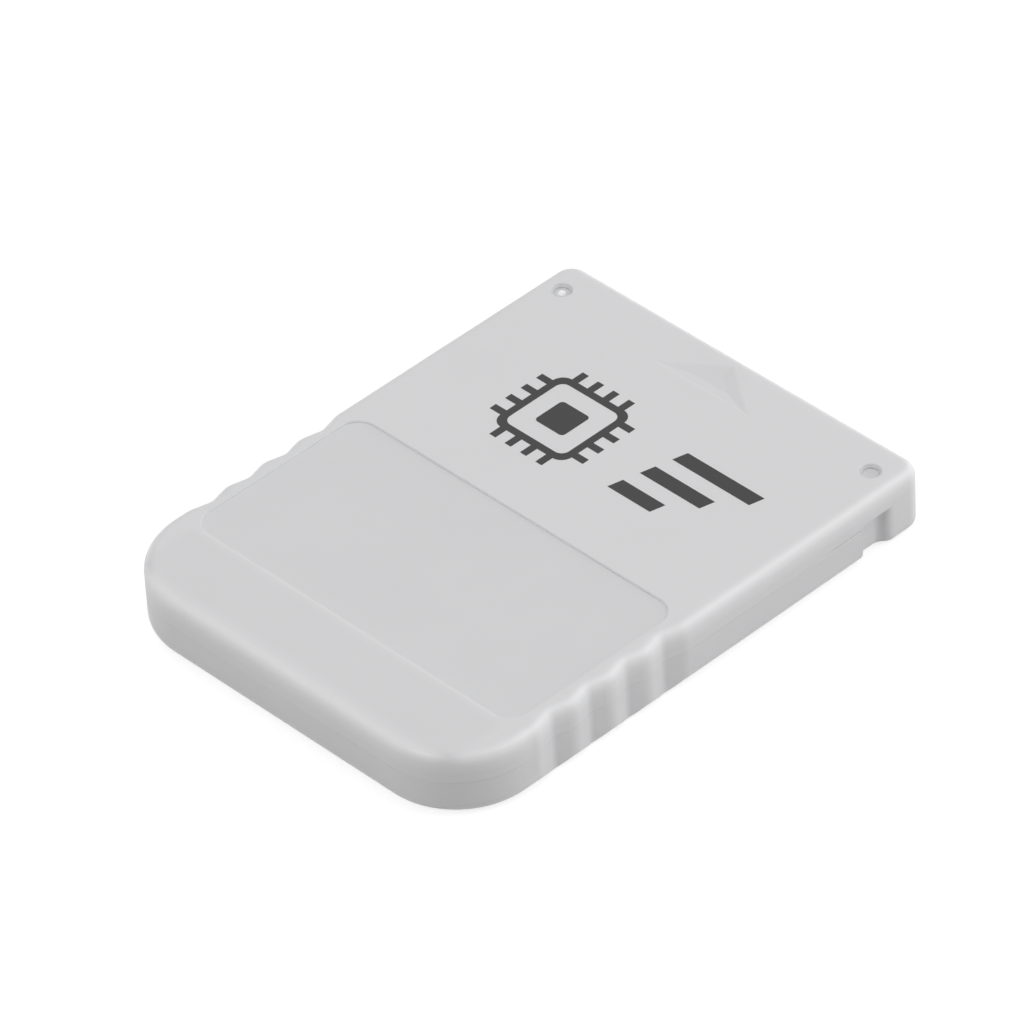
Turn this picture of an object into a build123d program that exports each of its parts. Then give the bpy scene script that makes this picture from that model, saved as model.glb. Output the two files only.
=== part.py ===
from build123d import *
import os

# A console memory card in millimetres. X runs across it, +Y points out of the plug end, Z is up.
# The origin is on the underside, in the middle of the card.

# Overall size of the closed card
card_width = 42.0
card_length = 55.0
card_height = 6.4
grip_corner_radius = 7.8
plug_corner_radius = 1.8
top_edge_radius = 1.1
bottom_edge_radius = 1.3
grip_roll_length = 3.5
grip_roll_drop = 0.15
plug_roll_length = 2.0
plug_roll_drop = 0.12

# Walls of the two half shells
side_wall = 1.6
top_wall = 1.2
floor_wall = 1.1

# Seam between the half shells: a tongue of the lower shell stands in a rabbet of the upper one
seam_height = 3.6
seam_clearance = 0.1
tongue_height = 0.7
tongue_thickness = 0.5
seam_chamfer = 0.04
relief_length = 9.3
relief_depth = 0.12
relief_height = 0.5

# Finger grooves along both sides, with flat flanks; their depth is taken before the bottoms are rounded
groove_count = 4
groove_pitch = 4.25
groove_depth = 0.57
groove_bottom_radius = 1.2
crest_radius = 2.4
grooves_from_grip_end = 17.9

# Nose at the plug end: open bay, side notches and corner posts
nose_length = 7.3
nose_edge_radius = 0.95
nose_wall = 2.0
notch_depth = 0.75
notch_rise = 0.5
post_length = 4.25
step_length = 0.7
step_radius = 1.15
end_lip = 1.2
end_wall = 1.2
end_wall_height = 2.3
end_bevel = 0.25

# Top face: label recess, insertion triangle and dimples
label_from_side = 1.9
label_from_grip_end = 8.2
label_length = 19.25
label_depth = 0.15
label_corner_radius = 2.0
label_bevel = 0.1
arrow_base = 11.4
arrow_length = 4.2
arrow_depth = 0.25
arrow_bevel = 1.2
arrow_from_plug_end = 5.4
dimple_radius = 0.75
dimple_depth = 0.35
dimple_bevel = 0.25
dimple_from_side = 2.6
dimple_from_plug_end = 3.75
gate_mark_radius = 0.4
gate_mark_height = 0.2

# Circuit board, held between the shells: on a rib near the grip end and on two posts with pins
board_thickness = 0.8
board_rise = 2.5
board_gap = 0.5
board_bay_gap = 0.3
board_setback = 0.9
lip_clearance = 0.05
post_radius = 1.5
pad_radius = 1.7
pin_radius = 0.65
pin_clearance = 0.1
post_from_board_side = 2.5
posts_from_nose = 7.75
board_rib_length = 24.0
board_rib_thickness = 1.0
board_rib_from_board_end = 6.4

# Contact strips and the carrier that holds them under the end of the board
outer_contact_count = 3
contact_width = 2.2
contact_thickness = 0.25
contact_pitch = 3.4
contact_group_gap = 4.5
contact_setback = 0.4
contact_tail = 1.6
carrier_side_gap = 1.5
carrier_thickness = 0.8
carrier_from_lower_shell = 0.45
rib_thickness = 1.2
rib_depth = 2.2
rib_nose_radius = 0.5

# Parts on the underside of the board
controller_length = 12.8
controller_width = 7.5
controller_thickness = 1.7
controller_leads_per_side = 8
controller_from_nose = 12.0
memory_length = 18.0
memory_width = 8.4
memory_thickness = 1.7
memory_leads_per_side = 12
memory_from_board_end = 15.4
lead_pitch = 1.27
chip_standoff = 0.15
chip_edge = 0.15
lead_width = 0.36
lead_thickness = 0.15
lead_shoulder = 0.35
lead_foot = 0.6
resonator_length = 7.0
resonator_width = 3.0
resonator_height = 1.5
resonator_from_package = 4.6
chip_part_length = 2.0
chip_part_width = 1.25
capacitor_height = 0.9
resistor_height = 0.5
cap_length = 0.4
cap_skin = 0.05
capacitor_from_package = 2.0
resistors_from_nose = 4.25
resistor_pitch = 4.0
resistors_per_side = 2
first_resistor_x = 6.0

# Places worked out from the sizes above
side_face = card_width / 2
grip_end = -card_length / 2
plug_end = card_length / 2
roll_starts = (grip_end + grip_roll_length, plug_end - plug_roll_length)
roll_drops = (grip_roll_drop, plug_roll_drop)
inner_top = card_height - top_wall
lower_end = plug_end - nose_length
nose_start = lower_end + seam_clearance
post_face = plug_end - post_length
dimple_y = plug_end - dimple_from_plug_end
notch_floor = side_face - notch_depth
bay_side = notch_floor - nose_wall
carrier_width = 2 * (bay_side - carrier_side_gap)
label_width = card_width - 2 * label_from_side
board_underside = floor_wall + board_rise
board_top = board_underside + board_thickness
board_side = bay_side - board_bay_gap
board_end = plug_end - board_setback
board_grip_end = grip_end + side_wall + board_gap
carrier_rear = lower_end + carrier_from_lower_shell
carrier_underside = board_underside - carrier_thickness
contact_underside = carrier_underside - contact_thickness
grooves_y = grip_end + grooves_from_grip_end
grooves_reach = groove_count * groove_pitch / 2
post_places = [
    (side * (board_side - post_from_board_side), lower_end - posts_from_nose) for side in (-1, 1)
]
board_rib_y = board_grip_end + board_rib_from_board_end
controller_y = lower_end - controller_from_nose
memory_y = board_grip_end + memory_from_board_end
resonator_place = (controller_length / 2 + resonator_from_package, controller_y)
capacitor_places = [
    (side * (length / 2 + capacitor_from_package), y)
    for length, y in ((memory_length, memory_y), (controller_length, controller_y + controller_width / 2))
    for side in (-1, 1)
]
resistor_places = [
    (side * (first_resistor_x + step * resistor_pitch), lower_end - resistors_from_nose)
    for side in (-1, 1)
    for step in range(resistors_per_side)
]
outer_contacts = [
    contact_pitch / 2 + contact_group_gap + step * contact_pitch for step in range(outer_contact_count)
]
contact_places = sorted(side * x for side in (-1, 1) for x in (contact_pitch / 2, *outer_contacts))
rib_places = [side * (contact_pitch + contact_group_gap) / 2 for side in (-1, 1)]

os.makedirs("parts", exist_ok=True)


def save(piece, name):
    """Labels a finished piece and writes it to a file of its own."""
    piece.part.label = name
    export_step(piece.part, f"parts/{name}.step")


def outline_plan():
    """Plan of the card without its grooves: large corners at the grip end, small ones at the plug end."""
    with BuildSketch() as plan:
        Rectangle(card_width, card_length)
        fillet(plan.vertices().group_by(Axis.Y)[0], grip_corner_radius)
        fillet(plan.vertices().group_by(Axis.Y)[-1], plug_corner_radius)
    return plan.sketch


def card_plan():
    """Plan of the card with the finger grooves along both sides."""
    with BuildSketch() as plan:
        add(outline_plan())
        with Locations((0, grooves_y)):
            with GridLocations(0, groove_pitch, 1, groove_count):
                for side in (-1, 1):
                    Polygon(
                        (side * side_face, -groove_pitch / 2),
                        (side * (side_face - groove_depth), 0),
                        (side * side_face, groove_pitch / 2),
                        align=None, mode=Mode.SUBTRACT,
                    )
        reach = grooves_reach + groove_depth
        half_depth_x = side_face - groove_depth / 2
        for radius, at_bottom in ((groove_bottom_radius, True), (crest_radius, False)):
            corners = plan.vertices().filter_by_position(Axis.Y, grooves_y - reach, grooves_y + reach)
            fillet(corners.filter_by(lambda corner: (abs(corner.X) < half_depth_x) == at_bottom), radius)
    return plan.sketch


def tray_plan(inset, plug_limit):
    """Plan of a hollow that follows the card's grip end at a distance, and stops square at plug_limit."""
    near_end = grip_end + inset
    with BuildSketch() as plan:
        with Locations((0, (near_end + plug_limit) / 2)):
            Rectangle(card_width - 2 * inset, plug_limit - near_end)
        fillet(plan.vertices().group_by(Axis.Y)[0], grip_corner_radius - inset)
    return plan.sketch


def nose_plan():
    """Plan of the nose: small corners at the plug end, and a rounded step from each post to its notch."""
    right = [
        (side_face, plug_end),
        (side_face, post_face),
        (notch_floor, post_face - step_length),
        (notch_floor, lower_end - nose_length),
    ]
    left = [(-x, y) for x, y in reversed(right)]
    with BuildSketch() as plan:
        Polygon(*right, *left, align=None)
        fillet(plan.vertices().group_by(Axis.Y)[-1], plug_corner_radius)
        fillet(plan.vertices().filter_by_position(Axis.Y, lower_end, post_face + step_length), step_radius)
    return plan.sketch


def arrow_plan(bevel):
    """Insertion triangle that points out of the plug end, drawn in by the bevel of its walls."""
    with BuildSketch() as plan:
        with Locations((0, plug_end - arrow_from_plug_end)):
            Polygon((-arrow_base / 2, 0), (arrow_base / 2, 0), (0, arrow_length), align=None)
        if bevel:
            offset(amount=-bevel, kind=Kind.INTERSECTION, mode=Mode.REPLACE)
    return plan.sketch


# Lower part of the nose, from the underside up to the seam
with BuildPart() as nose:
    with BuildSketch():
        add(nose_plan())
    extrude(amount=seam_height)
    fillet(nose.faces().sort_by(Axis.Z)[0].edges(), nose_edge_radius)
    with Locations((0, nose_start, 0)):
        Box(2 * card_width, card_length, 2 * card_height,
            align=(Align.CENTER, Align.MAX, Align.CENTER), mode=Mode.SUBTRACT)

# Upper shell: top of the case, down to the seam, with the full-depth nose at the plug end
with BuildPart() as upper_shell:
    with BuildSketch(Plane.XY.offset(seam_height)):
        add(card_plan())
    extrude(amount=card_height - seam_height)
    # The top curves gently down towards both ends
    for end, start, drop in zip((grip_end, plug_end), roll_starts, roll_drops):
        # Twice as far out, the arc has dropped four times as much
        far = 2 * end - start
        with BuildSketch(Plane.YZ):
            with BuildLine():
                roll = TangentArc((start, card_height), (far, card_height - 4 * drop), tangent=(end, 0))
                Polyline(roll @ 1, (far, 2 * card_height), (start, 2 * card_height), roll @ 0)
            make_face()
        extrude(amount=card_width, both=True, mode=Mode.SUBTRACT)
    top_edges = upper_shell.edges().filter_by_position(
        Axis.Z, card_height - 2 * max(roll_drops), card_height
    )
    # Of the lines across the top, only those at the two ends are edges of the card
    smooth_lines = top_edges.filter_by(Axis.X).sort_by(Axis.Y)[1:-1]
    fillet([edge for edge in top_edges if edge not in smooth_lines], top_edge_radius)
    add(nose.part)
    # Hollow over the board, and the rabbet for the tongue
    with BuildSketch(Plane.XY.offset(seam_height)):
        add(tray_plan(side_wall, nose_start))
    extrude(amount=inner_top - seam_height, mode=Mode.SUBTRACT)
    with BuildSketch(Plane.XY.offset(seam_height)):
        add(tray_plan(side_wall - tongue_thickness - seam_clearance, nose_start))
    extrude(amount=tongue_height + seam_clearance, mode=Mode.SUBTRACT)
    # Bay of the nose, closed above the board by the end lip and open below it
    with Locations((0, plug_end - end_lip, inner_top)):
        Box(2 * bay_side, nose_length - end_lip, card_height,
            align=(Align.CENTER, Align.MAX, Align.MAX), mode=Mode.SUBTRACT)
    with Locations((0, nose_start, board_top + lip_clearance)):
        Box(2 * bay_side, 2 * nose_length, card_height,
            align=(Align.CENTER, Align.MIN, Align.MAX), mode=Mode.SUBTRACT)
    # The notches of the nose reach a little above the seam
    with BuildSketch(Plane.XY.offset(seam_height)):
        with Locations((0, lower_end)):
            Rectangle(2 * card_width, post_face + step_length - lower_end, align=(Align.CENTER, Align.MIN))
        add(nose_plan(), mode=Mode.SUBTRACT)
    extrude(amount=notch_rise, mode=Mode.SUBTRACT)
    # Slight relief over the seam, so that the lower shell stands proud beside the notches
    for side in (-1, 1):
        ConvexPolyhedron(
            [
                (side * side_face, nose_start - relief_length, seam_height),
                (side * (side_face - relief_depth), nose_start, seam_height),
                (side * side_face, nose_start, seam_height + relief_height),
                (side * (side_face + relief_height), nose_start, seam_height),
            ],
            mode=Mode.SUBTRACT,
        )
    # Pads over the posts and a rib, which hold the board down
    with Locations(*[(x, y, board_top) for x, y in post_places]):
        Cylinder(pad_radius, inner_top - board_top, align=(Align.CENTER, Align.CENTER, Align.MIN))
    with Locations((0, board_rib_y, board_top)):
        Box(board_rib_length, board_rib_thickness, inner_top - board_top,
            align=(Align.CENTER, Align.CENTER, Align.MIN))
    # Label recess with a bevelled rim
    with BuildSketch(Plane.XY.offset(card_height)):
        with Locations((0, grip_end + label_from_grip_end + label_length / 2)):
            RectangleRounded(label_width, label_length, label_corner_radius)
    extrude(amount=-label_depth, mode=Mode.SUBTRACT)
    chamfer(upper_shell.faces().sort_by(Axis.Z)[-1].inner_wires()[0].edges(), label_bevel)
    # Insertion triangle with sloping walls
    with BuildSketch(Plane.XY.offset(card_height)):
        add(arrow_plan(0))
    with BuildSketch(Plane.XY.offset(card_height - arrow_depth)):
        add(arrow_plan(arrow_bevel))
    loft(mode=Mode.SUBTRACT)
    # Dimple over each corner post, the left one with the mark of the moulding gate
    with Locations((0, dimple_y, card_height)):
        with GridLocations(card_width - 2 * dimple_from_side, 0, 2, 1):
            Cylinder(dimple_radius, dimple_depth,
                     align=(Align.CENTER, Align.CENTER, Align.MAX), mode=Mode.SUBTRACT)
    top_circles = upper_shell.edges().filter_by(GeomType.CIRCLE).group_by(Axis.Z)[-1]
    dimple_rims = top_circles.filter_by(lambda rim: abs(rim.radius - dimple_radius) < dimple_bevel)
    chamfer(dimple_rims, dimple_bevel)
    with Locations((dimple_from_side - side_face, dimple_y, card_height - dimple_depth)):
        Cone(gate_mark_radius, gate_mark_radius / 2, gate_mark_height,
             align=(Align.CENTER, Align.CENTER, Align.MIN))
save(upper_shell, "upper_shell")

# Lower shell: tray with the tongue, a low wall at the nose, and the posts and rib that carry the board
with BuildPart() as lower_shell:
    with BuildSketch():
        add(outline_plan())
    extrude(amount=seam_height)
    fillet(lower_shell.faces().sort_by(Axis.Z)[0].edges(), bottom_edge_radius)
    # The grooves run out in the rounded bottom edge
    with BuildSketch():
        add(card_plan())
    extrude(amount=seam_height, mode=Mode.INTERSECT)
    chamfer(lower_shell.faces().sort_by(Axis.Z)[-1].edges(), seam_chamfer)
    with Locations((0, lower_end, 0)):
        Box(2 * card_width, card_length, 2 * card_height,
            align=(Align.CENTER, Align.MIN, Align.CENTER), mode=Mode.SUBTRACT)
    end_edges = lower_shell.faces().sort_by(Axis.Y)[-1].edges()
    chamfer(end_edges.sort_by(Axis.Z)[:-1], end_bevel)
    with BuildSketch(Plane.XY.offset(floor_wall)):
        add(tray_plan(side_wall, lower_end - end_wall))
    extrude(amount=seam_height - floor_wall, mode=Mode.SUBTRACT)
    with Locations((0, lower_end + end_wall, end_wall_height)):
        Box(card_width - 2 * side_wall, 2 * end_wall + contact_tail, card_height,
            align=(Align.CENTER, Align.MAX, Align.MIN), mode=Mode.SUBTRACT)
    with BuildSketch(Plane.XY.offset(seam_height)):
        add(tray_plan(side_wall - tongue_thickness, lower_end - end_wall))
        add(tray_plan(side_wall, lower_end), mode=Mode.SUBTRACT)
    extrude(amount=tongue_height)
    with Locations(*[(x, y, floor_wall) for x, y in post_places]):
        Cylinder(post_radius, board_rise, align=(Align.CENTER, Align.CENTER, Align.MIN))
        Cylinder(pin_radius, board_rise + board_thickness, align=(Align.CENTER, Align.CENTER, Align.MIN))
    with Locations((0, board_rib_y, floor_wall)):
        Box(board_rib_length, board_rib_thickness, board_rise,
            align=(Align.CENTER, Align.CENTER, Align.MIN))
save(lower_shell, "lower_shell")

# Circuit board, with holes for the pins of the posts
with BuildPart() as circuit_board:
    with BuildSketch(Plane.XY.offset(board_underside)) as board_plan:
        with Locations((0, (board_grip_end + board_end) / 2)):
            Rectangle(2 * board_side, board_end - board_grip_end)
        fillet(board_plan.vertices().group_by(Axis.Y)[0], grip_corner_radius - side_wall - board_gap)
        with Locations(*post_places):
            Circle(pin_radius + pin_clearance, mode=Mode.SUBTRACT)
    extrude(amount=board_thickness)
save(circuit_board, "circuit_board")

# Contact carrier: insulating plate under the end of the board, with a rib between the contact groups
with BuildPart() as contact_carrier:
    with Locations((0, carrier_rear, carrier_underside)):
        Box(carrier_width, board_end - carrier_rear, carrier_thickness,
            align=(Align.CENTER, Align.MIN, Align.MIN))
    for rib_x in rib_places:
        with BuildSketch(Plane.YZ.offset(rib_x)) as rib_plan:
            with Locations((carrier_rear, carrier_underside)):
                Rectangle(board_end - carrier_rear, rib_depth, align=(Align.MIN, Align.MAX))
            fillet(rib_plan.vertices().group_by(Axis.Y)[0], rib_nose_radius)
        extrude(amount=rib_thickness / 2, both=True)
save(contact_carrier, "contact_carrier")

# Contact strips: each lies flat under the carrier, rises behind it and ends in a foot under the board
for number, contact_x in enumerate(contact_places, start=1):
    with BuildPart() as contact:
        with BuildSketch(Plane.YZ.offset(contact_x)):
            with BuildLine():
                Polyline(
                    (board_end - contact_setback, carrier_underside),
                    (board_end - contact_setback, contact_underside),
                    (carrier_rear - contact_thickness, contact_underside),
                    (carrier_rear - contact_thickness, board_underside - contact_thickness),
                    (carrier_rear - contact_tail, board_underside - contact_thickness),
                    (carrier_rear - contact_tail, board_underside),
                    (carrier_rear, board_underside),
                    (carrier_rear, carrier_underside),
                    close=True,
                )
            make_face()
        extrude(amount=contact_width / 2, both=True)
    save(contact, f"contact_{number}")


def lead_places(chip_y, count):
    """Places of the leads of a package: a row of them, turned to each of its two long sides."""
    row = [(step - (count - 1) / 2) * lead_pitch for step in range(count)]
    return [Location((0, chip_y, 0), (0, 0, turn)) * Location((0, y, 0)) for turn in (90, 270) for y in row]


def gull_lead(body_side, body_thickness):
    """One lead that points along +X: out of the body's middle, up to the board and out into a foot."""
    middle = board_underside - chip_standoff - body_thickness / 2
    knee = body_side + lead_shoulder
    with BuildPart() as lead:
        with BuildSketch(Plane.XZ):
            with BuildLine():
                Polyline(
                    (body_side, middle - lead_thickness / 2),
                    (knee + lead_thickness, middle - lead_thickness / 2),
                    (knee + lead_thickness, board_underside - lead_thickness),
                    (knee + lead_foot, board_underside - lead_thickness),
                    (knee + lead_foot, board_underside),
                    (knee, board_underside),
                    (knee, middle + lead_thickness / 2),
                    (body_side, middle + lead_thickness / 2),
                    close=True,
                )
            make_face()
        extrude(amount=lead_width / 2, both=True)
    return lead.part


def package(chip_y, length, width, thickness, leads_per_side, name):
    """Moulded package under the board, with a row of leads on each of its long sides."""
    lead = gull_lead(width / 2, thickness)
    with BuildPart() as chip:
        with Locations((0, chip_y, board_underside - chip_standoff)):
            Box(length, width, thickness, align=(Align.CENTER, Align.CENTER, Align.MAX))
        chamfer(chip.faces().sort_by(Axis.Z)[0].edges(), chip_edge)
        with Locations(*lead_places(chip_y, leads_per_side)):
            add(lead)
    save(chip, name)


package(controller_y, controller_length, controller_width, controller_thickness,
        controller_leads_per_side, "controller_chip")
package(memory_y, memory_length, memory_width, memory_thickness, memory_leads_per_side, "memory_chip")

# Resonator: long ceramic body with round ends
with BuildPart() as resonator:
    with BuildSketch(Plane.XY.offset(board_underside)):
        with Locations(resonator_place):
            SlotOverall(resonator_length, resonator_width, rotation=90)
    extrude(amount=-resonator_height)
save(resonator, "resonator")


def chip_part(place, height, name):
    """Small chip part: a ceramic body with a metal cap on each end, flat on the board."""
    with BuildPart() as piece:
        with Locations((*place, board_underside)):
            Box(chip_part_length, chip_part_width, height - cap_skin,
                align=(Align.CENTER, Align.CENTER, Align.MAX))
            with GridLocations(chip_part_length - cap_length, 0, 2, 1):
                Box(cap_length, chip_part_width + 2 * cap_skin, height,
                    align=(Align.CENTER, Align.CENTER, Align.MAX))
    save(piece, name)


for number, place in enumerate(capacitor_places, start=1):
    chip_part(place, capacitor_height, f"capacitor_{number}")
for number, place in enumerate(resistor_places, start=1):
    chip_part(place, resistor_height, f"resistor_{number}")
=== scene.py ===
import math
from collections import namedtuple

import bmesh
import bpy
from mathutils import Matrix, Vector


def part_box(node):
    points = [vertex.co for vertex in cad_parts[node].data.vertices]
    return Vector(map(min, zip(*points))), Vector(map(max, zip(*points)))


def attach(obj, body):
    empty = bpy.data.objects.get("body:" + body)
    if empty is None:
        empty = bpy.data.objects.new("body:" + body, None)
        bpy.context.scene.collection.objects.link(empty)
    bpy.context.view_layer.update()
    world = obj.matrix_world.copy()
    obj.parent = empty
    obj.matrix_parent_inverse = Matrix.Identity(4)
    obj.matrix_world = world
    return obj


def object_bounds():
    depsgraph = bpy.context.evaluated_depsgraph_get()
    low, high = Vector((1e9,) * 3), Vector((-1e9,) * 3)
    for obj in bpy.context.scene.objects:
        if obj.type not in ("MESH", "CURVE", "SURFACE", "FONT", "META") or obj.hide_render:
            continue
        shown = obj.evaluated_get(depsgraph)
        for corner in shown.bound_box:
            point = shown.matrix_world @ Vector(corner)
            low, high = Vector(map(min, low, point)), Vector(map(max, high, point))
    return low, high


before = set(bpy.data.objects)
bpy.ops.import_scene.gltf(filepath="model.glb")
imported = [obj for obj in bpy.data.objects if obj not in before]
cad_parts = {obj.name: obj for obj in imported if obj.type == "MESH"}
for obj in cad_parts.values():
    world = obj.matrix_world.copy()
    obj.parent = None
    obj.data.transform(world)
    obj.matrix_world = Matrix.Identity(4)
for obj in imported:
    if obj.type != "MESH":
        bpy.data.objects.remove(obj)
cad_low, cad_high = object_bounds()

MM = 0.001

# Camera, fitted to the outline of the card in the photograph, which is IMAGE_SIZE pixels square
IMAGE_SIZE = 1024
SENSOR_WIDTH = 36.0
VIEW_AZIMUTH = math.radians(47.692)
VIEW_ELEVATION = math.radians(39.445)
VIEW_ROLL = math.radians(-3.515)
VIEW_DISTANCE = 694.9 * MM
FOCAL_PX = 8279.7
CARD_CENTRE_PX = (517.19, 540.13)

# Light: a dim even room, with soft lamps around the card, at a distance and of a size in metres.
# Each lamp has its bearing from +X and its height, in degrees, and its watts.
# Lamps below GLARE_HEIGHT light the sides, and show in no reflection: the top would glare from low angles.
ROOM_STRENGTH = 0.1
LAMP_DISTANCE = 0.9
LAMP_SIZE = 0.5
GLARE_HEIGHT = 30
LAMPS = {
    "top_lamp": (0, 90, 1.2),
    "left_lamp": (180, 52, 1.5),
    "front_lamp": (270, 52, 2.5),
    "right_lamp": (45, 52, 2.2),
    "low_right_lamp": (45, 12, 3.0),
    "low_back_lamp": (90, 12, 1.7),
    "low_front_lamp": (225, 12, 0.9),
}

# Floor, FLOOR_SIZE metres square: where it is seen it glows, and takes on a little of the lamps' light
# and so of the card's shadow. To all other light it is plain paper.
FLOOR_SIZE = 3.0
FLOOR_GLOW = 0.8
FLOOR_SHADE = 0.3
FLOOR_ALBEDO = 0.8

# Colours, in linear light
CASE_GREY = (0.665, 0.665, 0.675)
RECESS_GREY = (0.635, 0.635, 0.645)
# Painted highlight on the case's rounded top edge
EDGE_HIGHLIGHT_GREY = (0.78, 0.78, 0.79)
GRIP_GREY = (0.64, 0.64, 0.65)
# Painted highlight on the near rim of the label recess
RIM_HIGHLIGHT_GREY = (0.69, 0.69, 0.7)
# Painted shade in the debossed arrow
ARROW_SHADE_GREY = (0.64, 0.64, 0.65)
# Painted shade in the two dimples
DIMPLE_SHADE_GREY = (0.58, 0.58, 0.59)
# Painted highlight on the gate mark in the left dimple
GATE_HIGHLIGHT_WHITE = (0.9, 0.9, 0.9)
# Painted shade: the lower shell is darker than the upper one, for the shade on the lower walls
LOWER_SHELL_SHADED_GREY = (0.64, 0.64, 0.65)
INK_GREY = (0.014, 0.014, 0.015)
CARRIER_GREY = (0.03, 0.03, 0.033)
PACKAGE_BLACK = (0.014, 0.014, 0.015)
TIN = (0.62, 0.62, 0.6)
GOLD = (0.83, 0.6, 0.24)
MASK_GREEN = (0.012, 0.09, 0.03)
TRACK_GREEN = (0.03, 0.17, 0.06)
BOARD_EDGE = (0.4, 0.36, 0.18)
CERAMIC_BROWN = (0.42, 0.2, 0.07)
CAPACITOR_TAN = (0.48, 0.34, 0.2)
RESISTOR_BLACK = (0.02, 0.02, 0.022)

# The rounded top edge of the case is painted paler, as a painted highlight: the heights in mm between
# which it fades in, and out again
EDGE_HIGHLIGHT_FADE_IN = (4.4, 6.1)
EDGE_HIGHLIGHT_FADE_OUT = (6.35, 6.12)

# Shades of the case's top, each in a box: its middle, half sizes and soft edge in mm, and its colour.
# The recess floor and the grip are a little darker. Painted shade darkens the arrow and the dimples;
# painted highlights lighten the near rim of the recess and the gate mark, where the sprue was cut off.
CRISP = 0.02
DIMPLE_X = 18.4
DIMPLE_Y = 23.75
DIMPLE_REACH = (1.05, 1.05, 0.2)
SHADES = {
    "recess_floor": ((0.0, -9.675, 6.2), (19.1, 9.62, 0.06), CRISP, RECESS_GREY),
    "grip": ((0.0, -22.9, 6.5), (18.0, 2.4, 0.3), 1.0, GRIP_GREY),
    # Painted highlight: a lighter band along the near rim of the label recess
    "recess_rim_highlight": ((0.0, -19.5, 6.4), (17.5, 0.12, 0.05), 0.1, RIM_HIGHLIGHT_GREY),
    # Painted shade: the debossed arrow is painted darker
    "arrow_shade": ((0.0, 24.2, 6.2), (5.9, 2.2, 0.15), CRISP, ARROW_SHADE_GREY),
    # Painted shade: both dimples are painted darker
    "left_dimple_shade": ((-DIMPLE_X, DIMPLE_Y, 6.15), DIMPLE_REACH, CRISP, DIMPLE_SHADE_GREY),
    "right_dimple_shade": ((DIMPLE_X, DIMPLE_Y, 6.15), DIMPLE_REACH, CRISP, DIMPLE_SHADE_GREY),
    # Painted highlight: the gate mark is painted near white
    "gate_mark_highlight": ((-DIMPLE_X, DIMPLE_Y, 6.2), (0.45, 0.45, 0.12), CRISP, GATE_HIGHLIGHT_WHITE),
}

# Moulded surfaces: the height of the grain is in mm, and mottle is the drift of the colour
Surface = namedtuple("Surface", "roughness grain_per_mm grain_height mottle")
CASE_SURFACE = Surface(roughness=0.42, grain_per_mm=9.0, grain_height=0.002, mottle=0.02)
CARRIER_SURFACE = Surface(roughness=0.45, grain_per_mm=7.0, grain_height=0.004, mottle=0.1)
GLAZE_SURFACE = Surface(roughness=0.22, grain_per_mm=3.0, grain_height=0.006, mottle=0.12)
INK_SURFACE = Surface(roughness=0.5, grain_per_mm=6.0, grain_height=0.003, mottle=0.08)

# Patches in which the colour and the gloss drift, and the detail of the noise in patches and in grain
COLOUR_PATCHES_PER_MM = 0.12
GLOSS_PATCHES_PER_MM = 1.5
GLOSS_DRIFT = 0.05
PATCH_DETAIL = 2.0
GRAIN_DETAIL = 3.0

# Gold plating, with marks drawn out along the way that the card slides into its slot
PLATING_ROUGHNESS = (0.16, 0.42)
PLATING_MARKS_PER_MM = 14.0
PLATING_MARK_STRETCH = (1.0, 0.03, 1.0)
PLATING_MARK_HEIGHT = 0.0015
PLATING_MOTTLE = 0.06
PLATING_PATCHES_PER_MM = 0.8

# Small parts on the board: bodies with tinned leads or end caps, which reach in as in their CAD forms.
# LEAD_MARGIN is a share of a package's box, and keeps the tin off the end faces of its body.
PACKAGE_ROUGHNESS = 0.5
CHIP_PART_ROUGHNESS = 0.4
TINNED_GLOSS_DRIFT = (-0.1, 0.08)
TINNED_GLOSS_PATCHES_PER_MM = 4.0
TINNED_GRAIN_PER_MM = 12.0
TINNED_GRAIN_HEIGHT = 0.003
BODY_MOTTLE = 0.12
BODY_PATCHES_PER_MM = 1.5
TIN_MOTTLE = 0.08
TIN_PATCHES_PER_MM = 3.0
LEAD_REACH = 0.95
LEAD_MARGIN = 0.001
TIN_CAP_SHARE = 0.2

# Circuit board: tracks that run along X or Y from patch to patch, where a wave is above TRACK_LEVEL.
# At a scale of 1 a wave texture goes through WAVE_PHASE radians in a metre.
# Its faces are where the normal's Z is beyond FACE_SLOPE, and bare fibre shows on the edges.
TRACK_PITCH = 1.27
TRACK_LEVEL = 0.62
TRACK_HEIGHT = 0.02
TURN_PATCHES_PER_MM = 0.09
TURN_LEVEL = 0.52
WAVE_PHASE = 20.0
MASK_ROUGHNESS = (0.28, 0.4)
MASK_GLOSS_PATCHES_PER_MM = 2.0
MASK_MOTTLE = 0.15
MASK_PATCHES_PER_MM = 0.5
FIBRE_MOTTLE = 0.25
FIBRE_PATCHES_PER_MM = 6.0
FACE_SLOPE = 0.7

# Printed mark on the top face, in mm: a chip with its pins, and three slanted bars beside it
INK_THICKNESS = 0.012
CHIP_PLACE = (-5.8, 11.3)
CHIP_SIZE = 8.6
CHIP_CORNER = 1.2
CHIP_STROKE = 0.75
CORE_SIZE = 3.4
CORE_CORNER = CHIP_CORNER / 3
CORNER_STEPS = 6
PIN_LENGTH = 1.3
PIN_WIDTH = 0.75
PIN_PITCH = 1.85
PINS_PER_SIDE = 4
BAR_START = 4.4
BAR_LENGTHS = (9.0, 7.0, 5.0)
BAR_HEIGHT = 1.5
BAR_PITCH = 3.1
BAR_SLANT = 0.25

# How many there are of the nodes that repeat
CONTACT_COUNT = 8
CHIP_PART_COUNT = 4


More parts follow.
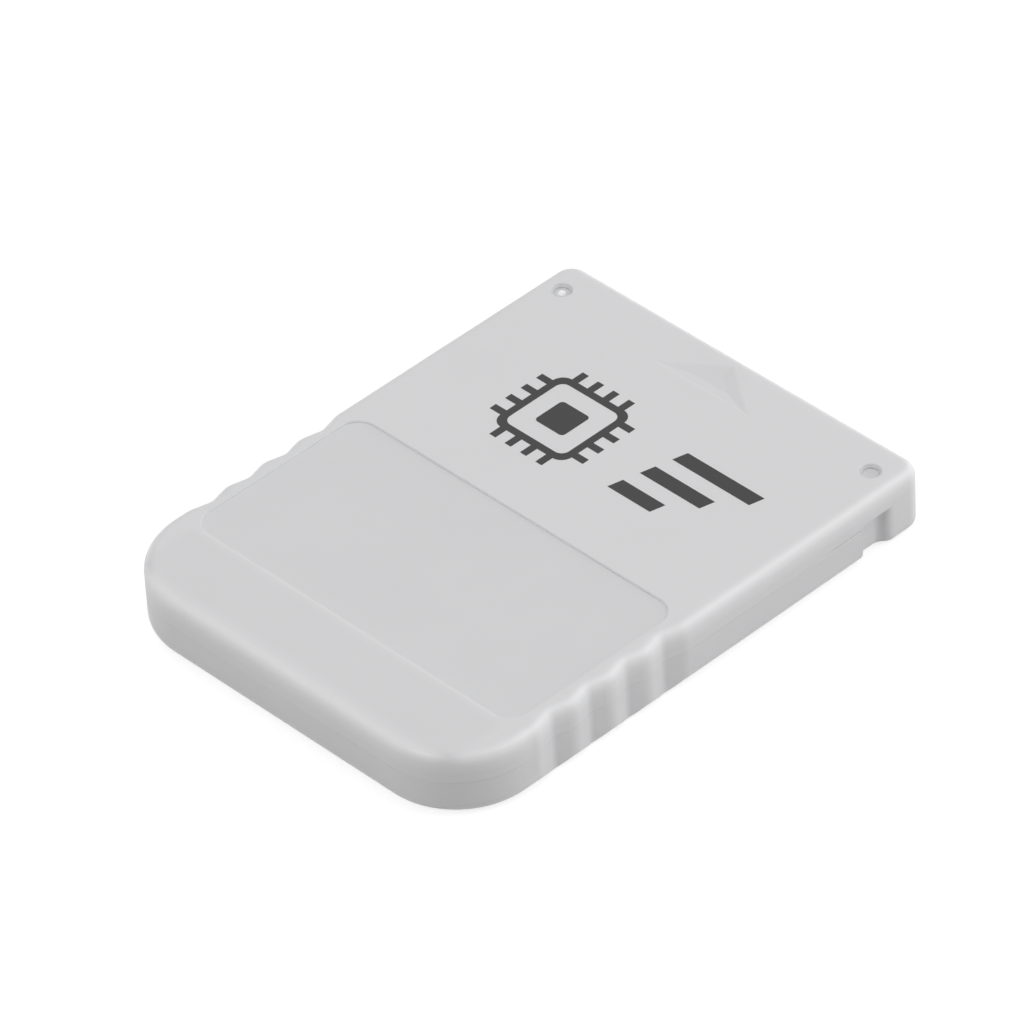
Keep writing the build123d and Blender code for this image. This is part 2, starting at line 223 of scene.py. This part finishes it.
class Look:
    """A material in the making: its nodes, the joins between them, and its shader."""

    def __init__(self, name):
        self.material = bpy.data.materials.new(name)
        self.material.use_nodes = True
        self.tree = self.material.node_tree
        self.tree.nodes.clear()
        self.link = self.tree.links.new
        coordinates = self.add("ShaderNodeTexCoord")
        self.place = coordinates.outputs["Object"]
        self.own_place = coordinates.outputs["Generated"]

    def add(self, kind, **inputs):
        """Adds a node and sets its inputs; an underscore stands for a blank in an input's name."""
        node = self.tree.nodes.new(kind)
        for key, value in inputs.items():
            node.inputs[key.replace("_", " ")].default_value = value
        return node

    def noise(self, per_mm, detail=PATCH_DETAIL, stretch=(1.0, 1.0, 1.0)):
        """Noise with a given number of grains to the millimetre, as a factor from 0 to 1."""
        scaled = self.add("ShaderNodeMapping", Scale=[per_mm * along / MM for along in stretch])
        self.link(self.place, scaled.inputs["Vector"])
        grain = self.add("ShaderNodeTexNoise", Scale=1.0, Detail=detail)
        self.link(scaled.outputs["Vector"], grain.inputs["Vector"])
        return grain.outputs["Fac"]

    def spread(self, factor, low, high):
        """Maps a factor from 0 to 1 onto the range from low to high."""
        ramp = self.add("ShaderNodeMapRange", To_Min=low, To_Max=high)
        self.link(factor, ramp.inputs["Value"])
        return ramp.outputs["Result"]

    def blend(self, factor, first, second):
        """Goes from one colour to another with the factor; each is a colour or a node's output."""
        mix = self.add("ShaderNodeMix")
        mix.data_type = "RGBA"
        self.link(factor, mix.inputs["Factor"])
        for socket, colour in (("A", first), ("B", second)):
            if isinstance(colour, tuple):
                mix.inputs[socket].default_value = (*colour, 1.0)
            else:
                self.link(colour, mix.inputs[socket])
        return mix.outputs["Result"]

    def drift(self, colour, amount, per_mm=COLOUR_PATCHES_PER_MM):
        """A colour that is a little lighter and darker from place to place."""
        darker = tuple(part * (1.0 - amount) for part in colour)
        lighter = tuple(part * (1.0 + amount) for part in colour)
        return self.blend(self.noise(per_mm), darker, lighter)

    def calculate(self, operation, value, other=0.0):
        """Result of a math operation on a value and another, which may be a plain number."""
        step = self.add("ShaderNodeMath")
        step.operation = operation
        self.link(value, step.inputs[0])
        if isinstance(other, float):
            step.inputs[1].default_value = other
        else:
            self.link(other, step.inputs[1])
        return step.outputs["Value"]

    def fade(self, value, start, end):
        """Goes from 0 to 1 as a value goes from start to end, given in mm."""
        step = self.add("ShaderNodeMapRange", From_Min=start * MM, From_Max=end * MM)
        self.link(value, step.inputs["Value"])
        return step.outputs["Result"]

    def inside(self, middle, reach, soft):
        """1 inside a box, given in mm by its middle and half sizes, and 0 beyond its soft edge."""
        shares = []
        for letter, centre, half in zip("XYZ", middle, reach):
            offset = self.calculate("SUBTRACT", self.axis(self.place, letter), centre * MM)
            shares.append(self.fade(self.calculate("ABSOLUTE", offset), half + soft, half))
        plan = self.calculate("MULTIPLY", shares[0], shares[1])
        return self.calculate("MULTIPLY", plan, shares[2])

    def axis(self, coordinates, letter):
        """One part of coordinates or of a direction: X, Y or Z."""
        parts = self.add("ShaderNodeSeparateXYZ")
        self.link(coordinates, parts.inputs["Vector"])
        return parts.outputs[letter]

    def far_from_middle(self, letter, share):
        """1 at both ends of the piece's own box along an axis, beyond a share of it from the middle."""
        aside = self.calculate("SUBTRACT", self.axis(self.own_place, letter), 0.5)
        return self.calculate("GREATER_THAN", self.calculate("ABSOLUTE", aside), share)

    def finish(self, colour, roughness, grain, grain_height, metal=None):
        """Joins colour, gloss and grain to the shader; metal is 1, or a factor for where metal is."""
        shader = self.add("ShaderNodeBsdfPrincipled")
        self.link(colour, shader.inputs["Base Color"])
        self.link(roughness, shader.inputs["Roughness"])
        if isinstance(metal, float):
            shader.inputs["Metallic"].default_value = metal
        elif metal:
            self.link(metal, shader.inputs["Metallic"])
        bump = self.add("ShaderNodeBump", Strength=1.0, Distance=grain_height * MM)
        self.link(grain, bump.inputs["Height"])
        self.link(bump.outputs["Normal"], shader.inputs["Normal"])
        output = self.add("ShaderNodeOutputMaterial")
        self.link(shader.outputs["BSDF"], output.inputs["Surface"])
        return self.material


def moulded(look, colour, surface):
    """Finishes a look as moulded plastic: fine grain in the surface, with a little drift in its gloss."""
    patches = look.noise(GLOSS_PATCHES_PER_MM)
    gloss = look.spread(patches, surface.roughness - GLOSS_DRIFT, surface.roughness + GLOSS_DRIFT)
    grain = look.noise(surface.grain_per_mm, GRAIN_DETAIL)
    return look.finish(colour, gloss, grain, surface.grain_height)


def plastic(name, colour, surface):
    """Moulded plastic of one colour, with a little drift in it."""
    look = Look(name)
    return moulded(look, look.drift(colour, surface.mottle), surface)


def case_top(name):
    """The case's plastic, with a painted highlight on its rounded top edge, and its shades on the top
    face, some of them painted shade and painted highlights.
    """
    look = Look(name)
    mottle = CASE_SURFACE.mottle
    height = look.axis(look.place, "Z")
    # Painted highlight: the rounded top edge is painted paler between these heights
    edge_highlight = look.calculate("MULTIPLY", look.fade(height, *EDGE_HIGHLIGHT_FADE_IN), look.fade(height, *EDGE_HIGHLIGHT_FADE_OUT))
    colour = look.blend(edge_highlight, look.drift(CASE_GREY, mottle), look.drift(EDGE_HIGHLIGHT_GREY, mottle))
    for middle, reach, soft, shade in SHADES.values():
        colour = look.blend(look.inside(middle, reach, soft), colour, look.drift(shade, mottle))
    return moulded(look, colour, CASE_SURFACE)


def plating(name, colour):
    """Plated strip, with fine marks along the way that the card slides into its slot."""
    look = Look(name)
    marks = look.noise(PLATING_MARKS_PER_MM, GRAIN_DETAIL, PLATING_MARK_STRETCH)
    metal = look.drift(colour, PLATING_MOTTLE, PLATING_PATCHES_PER_MM)
    gloss = look.spread(marks, *PLATING_ROUGHNESS)
    return look.finish(metal, gloss, marks, PLATING_MARK_HEIGHT, 1.0)


def tinned(name, colour, letter, share, roughness):
    """Dark or ceramic body with tinned metal at both ends of its box: a chip's leads, or end caps."""
    look = Look(name)
    metal = look.far_from_middle(letter, share)
    body = look.drift(colour, BODY_MOTTLE, BODY_PATCHES_PER_MM)
    both = look.blend(metal, body, look.drift(TIN, TIN_MOTTLE, TIN_PATCHES_PER_MM))
    low, high = [roughness + change for change in TINNED_GLOSS_DRIFT]
    gloss = look.spread(look.noise(TINNED_GLOSS_PATCHES_PER_MM), low, high)
    grain = look.noise(TINNED_GRAIN_PER_MM, GRAIN_DETAIL)
    return look.finish(both, gloss, grain, TINNED_GRAIN_HEIGHT, metal)


def track_lines(look):
    """1 on the tracks of the board, which run across it in some patches and along it in the others."""
    waves = []
    for direction in "XY":
        wave = look.add("ShaderNodeTexWave", Scale=2 * math.pi / WAVE_PHASE / (TRACK_PITCH * MM))
        wave.bands_direction = direction
        look.link(look.place, wave.inputs["Vector"])
        waves.append(wave.outputs["Color"])
    turn = look.calculate("GREATER_THAN", look.noise(TURN_PATCHES_PER_MM, 0.0), TURN_LEVEL)
    return look.calculate("GREATER_THAN", look.blend(turn, *waves), TRACK_LEVEL)


def circuit(name):
    """Green board: tracks that show through the solder mask, and bare glass fibre at its edges."""
    look = Look(name)
    tracks = track_lines(look)
    plain = look.drift(MASK_GREEN, MASK_MOTTLE, MASK_PATCHES_PER_MM)
    raised = look.drift(TRACK_GREEN, MASK_MOTTLE, MASK_PATCHES_PER_MM)
    mask = look.blend(tracks, plain, raised)
    fibre = look.drift(BOARD_EDGE, FIBRE_MOTTLE, FIBRE_PATCHES_PER_MM)
    facing = look.axis(look.add("ShaderNodeNewGeometry").outputs["Normal"], "Z")
    face = look.calculate("GREATER_THAN", look.calculate("ABSOLUTE", facing), FACE_SLOPE)
    gloss = look.spread(look.noise(MASK_GLOSS_PATCHES_PER_MM), *MASK_ROUGHNESS)
    return look.finish(look.blend(face, fibre, mask), gloss, tracks, TRACK_HEIGHT)


def assign(material, *nodes):
    """Gives CAD nodes a better material, in the slots that they have."""
    for node in nodes:
        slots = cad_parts[node].data.materials
        for index in range(len(slots)):
            slots[index] = material


def numbered(kind, count):
    """Names of nodes that repeat, from number 1."""
    return [f"{kind}_{number}" for number in range(1, count + 1)]


def lead_share(node):
    """Where a chip's body ends and its leads begin, as a share of its box from the middle."""
    low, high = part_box(node)
    return 0.5 + LEAD_MARGIN - LEAD_REACH * MM / (high.y - low.y)


def rounded_box(middle, size, corner):
    """Outline of a square with round corners, as points in mm."""
    reach = size / 2 - corner
    points = []
    for quarter, (side_x, side_y) in enumerate(((1, 1), (-1, 1), (-1, -1), (1, -1))):
        for step in range(CORNER_STEPS + 1):
            angle = math.radians(90 * (quarter + step / CORNER_STEPS))
            x = middle[0] + side_x * reach + corner * math.cos(angle)
            y = middle[1] + side_y * reach + corner * math.sin(angle)
            points.append((x, y))
    return points


def strip(length, width):
    """Corners of a strip that starts at the origin and runs along +X."""
    half = width / 2
    return [(0, -half), (length, -half), (length, half), (0, half)]


def pin_outlines():
    """Outlines of the pins on the four sides of the printed chip."""
    outlines = []
    for side in range(4):
        turn = Matrix.Rotation(math.radians(90 * side), 2)
        for pin in range(PINS_PER_SIDE):
            row = (pin - (PINS_PER_SIDE - 1) / 2) * PIN_PITCH
            local = [(CHIP_SIZE / 2 + x, row + y) for x, y in strip(PIN_LENGTH, PIN_WIDTH)]
            outlines.append([Vector(CHIP_PLACE) + turn @ Vector(point) for point in local])
    return outlines


def bar_outlines():
    """Outlines of the slanted bars beside the printed chip."""
    outlines = []
    for index, length in enumerate(BAR_LENGTHS):
        row = BAR_PITCH * (1 - index)
        level = [(x, row + y) for x, y in strip(length, BAR_HEIGHT)]
        outlines.append([(BAR_START + x + BAR_SLANT * y, CHIP_PLACE[1] + y) for x, y in level])
    return outlines


def band(mesh, first, second):
    """Faces between two closed rows of points."""
    for index in range(len(first)):
        mesh.faces.new((first[index - 1], first[index], second[index], second[index - 1]))


def add_print(mesh, outline, hole=None):
    """Adds one thin printed shape to the mesh, from its outline in mm and that of a hole in it."""
    def row(points, height):
        return [mesh.verts.new((x * MM, y * MM, cad_high.z + height * MM)) for x, y in points]

    low, high = row(outline, 0.0), row(outline, INK_THICKNESS)
    band(mesh, low, high)
    if hole is None:
        mesh.faces.new(low)
        mesh.faces.new(high)
        return
    hole_low, hole_high = row(hole, 0.0), row(hole, INK_THICKNESS)
    band(mesh, hole_high, hole_low)
    band(mesh, hole_low, low)
    band(mesh, high, hole_high)


def add_mark(material):
    """Printed mark, as thin ink on the top face."""
    mesh = bmesh.new()
    inner = rounded_box(CHIP_PLACE, CHIP_SIZE - 2 * CHIP_STROKE, CHIP_CORNER - CHIP_STROKE / 2)
    add_print(mesh, rounded_box(CHIP_PLACE, CHIP_SIZE, CHIP_CORNER), inner)
    add_print(mesh, rounded_box(CHIP_PLACE, CORE_SIZE, CORE_CORNER))
    for outline in pin_outlines() + bar_outlines():
        add_print(mesh, outline)
    bmesh.ops.recalc_face_normals(mesh, faces=mesh.faces)
    data = bpy.data.meshes.new("printed_mark")
    mesh.to_mesh(data)
    mesh.free()
    data.materials.append(material)
    mark = bpy.data.objects.new("printed_mark", data)
    bpy.context.scene.collection.objects.link(mark)
    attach(mark, "root")


def add_camera():
    """Camera at the photograph's place and with its roll, with the card's middle on its pixel."""
    sin_a, cos_a = math.sin(VIEW_AZIMUTH), math.cos(VIEW_AZIMUTH)
    sin_e, cos_e = math.sin(VIEW_ELEVATION), math.cos(VIEW_ELEVATION)
    level_right = Vector((cos_a, sin_a, 0))
    level_up = Vector((-sin_a * sin_e, cos_a * sin_e, cos_e))
    back = Vector((sin_a * cos_e, -cos_a * cos_e, sin_e))
    right = level_right * math.cos(VIEW_ROLL) + level_up * math.sin(VIEW_ROLL)
    up = level_up * math.cos(VIEW_ROLL) - level_right * math.sin(VIEW_ROLL)
    per_pixel = VIEW_DISTANCE / FOCAL_PX
    aside = (CARD_CENTRE_PX[0] - IMAGE_SIZE / 2) * per_pixel
    below = (CARD_CENTRE_PX[1] - IMAGE_SIZE / 2) * per_pixel
    place = (cad_low + cad_high) / 2 - aside * right + below * up + VIEW_DISTANCE * back
    lens = bpy.data.cameras.new("camera")
    lens.sensor_width = SENSOR_WIDTH
    lens.lens = FOCAL_PX * SENSOR_WIDTH / IMAGE_SIZE
    camera = bpy.data.objects.new("camera", lens)
    camera.matrix_world = Matrix.Translation(place) @ Matrix((right, up, back)).transposed().to_4x4()
    bpy.context.scene.collection.objects.link(camera)
    bpy.context.scene.camera = camera


def add_lamp(name, bearing, height, watts):
    """Square soft lamp that faces the card."""
    light = bpy.data.lights.new(name, "AREA")
    light.shape = "SQUARE"
    light.size = LAMP_SIZE
    light.energy = watts
    lamp = bpy.data.objects.new(name, light)
    turn, rise = math.radians(bearing), math.radians(height)
    way = Vector((math.cos(rise) * math.cos(turn), math.cos(rise) * math.sin(turn), math.sin(rise)))
    lamp.location = way * LAMP_DISTANCE
    lamp.rotation_euler = (-way).to_track_quat("-Z", "Y").to_euler()
    lamp.visible_glossy = height > GLARE_HEIGHT
    bpy.context.scene.collection.objects.link(lamp)


def seen_factor(tree):
    """1 for rays that show the background: from the camera, or by way of a reflection or of glass."""
    path = tree.nodes.new("ShaderNodeLightPath")
    total = path.outputs["Is Camera Ray"]
    for kind in ("Is Glossy Ray", "Is Transmission Ray"):
        step = tree.nodes.new("ShaderNodeMath")
        step.operation = "MAXIMUM"
        tree.links.new(total, step.inputs[0])
        tree.links.new(path.outputs[kind], step.inputs[1])
        total = step.outputs["Value"]
    return total


def add_room():
    """White world: full white where it is seen, and an even, dimmer light on everything else."""
    world = bpy.data.worlds.new("room")
    world.use_nodes = True
    tree = world.node_tree
    tree.nodes.clear()
    strength = tree.nodes.new("ShaderNodeMapRange")
    strength.inputs["To Min"].default_value = ROOM_STRENGTH
    tree.links.new(seen_factor(tree), strength.inputs["Value"])
    white = tree.nodes.new("ShaderNodeBackground")
    white.inputs["Color"].default_value = (1.0, 1.0, 1.0, 1.0)
    tree.links.new(strength.outputs["Result"], white.inputs["Strength"])
    output = tree.nodes.new("ShaderNodeOutputWorld")
    tree.links.new(white.outputs["Background"], output.inputs["Surface"])
    bpy.context.scene.world = world


def floor_paper():
    """White where it is seen, with a pale shadow of the card, and plain pale paper to all other light."""
    look = Look("floor")
    glow = look.add("ShaderNodeEmission", Strength=FLOOR_GLOW)
    shade = look.add("ShaderNodeBsdfDiffuse", Color=(FLOOR_SHADE, FLOOR_SHADE, FLOOR_SHADE, 1.0))
    seen = look.add("ShaderNodeAddShader")
    look.link(glow.outputs["Emission"], seen.inputs[0])
    look.link(shade.outputs["BSDF"], seen.inputs[1])
    paper = look.add("ShaderNodeBsdfDiffuse", Color=(FLOOR_ALBEDO, FLOOR_ALBEDO, FLOOR_ALBEDO, 1.0))
    mix = look.add("ShaderNodeMixShader")
    look.link(seen_factor(look.tree), mix.inputs["Fac"])
    look.link(paper.outputs["BSDF"], mix.inputs[1])
    look.link(seen.outputs["Shader"], mix.inputs[2])
    output = look.add("ShaderNodeOutputMaterial")
    look.link(mix.outputs["Shader"], output.inputs["Surface"])
    return look.material


def add_floor():
    """Flat floor under the card."""
    mesh = bpy.data.meshes.new("floor")
    half = FLOOR_SIZE / 2
    corners = [(-half, -half, 0), (half, -half, 0), (half, half, 0), (-half, half, 0)]
    mesh.from_pydata(corners, [], [(0, 1, 2, 3)])
    mesh.materials.append(floor_paper())
    floor = bpy.data.objects.new("floor", mesh)
    floor.location.z = cad_low.z
    bpy.context.scene.collection.objects.link(floor)


assign(case_top("case_plastic_with_painted_light"), "upper_shell")
# The lower shell gets painted shade: a darker grey for its lower walls
assign(plastic("lower_shell_plastic_painted_shade", LOWER_SHELL_SHADED_GREY, CASE_SURFACE), "lower_shell")
assign(plastic("carrier_plastic", CARRIER_GREY, CARRIER_SURFACE), "contact_carrier")
assign(plating("contact_gold", GOLD), *numbered("contact", CONTACT_COUNT))
assign(circuit("board_green"), "circuit_board")
assign(plastic("resonator_glaze", CERAMIC_BROWN, GLAZE_SURFACE), "resonator")
for chip in ("controller_chip", "memory_chip"):
    assign(tinned(chip + "_finish", PACKAGE_BLACK, "Y", lead_share(chip), PACKAGE_ROUGHNESS), chip)
for kind, colour in (("capacitor", CAPACITOR_TAN), ("resistor", RESISTOR_BLACK)):
    finish = tinned(kind + "_finish", colour, "X", 0.5 - TIN_CAP_SHARE, CHIP_PART_ROUGHNESS)
    assign(finish, *numbered(kind, CHIP_PART_COUNT))
add_mark(plastic("mark_ink", INK_GREY, INK_SURFACE))

add_camera()
add_room()
for lamp_name, (bearing, height, watts) in LAMPS.items():
    add_lamp(lamp_name, bearing, height, watts)
add_floor()
bpy.context.scene.view_settings.view_transform = "Standard"
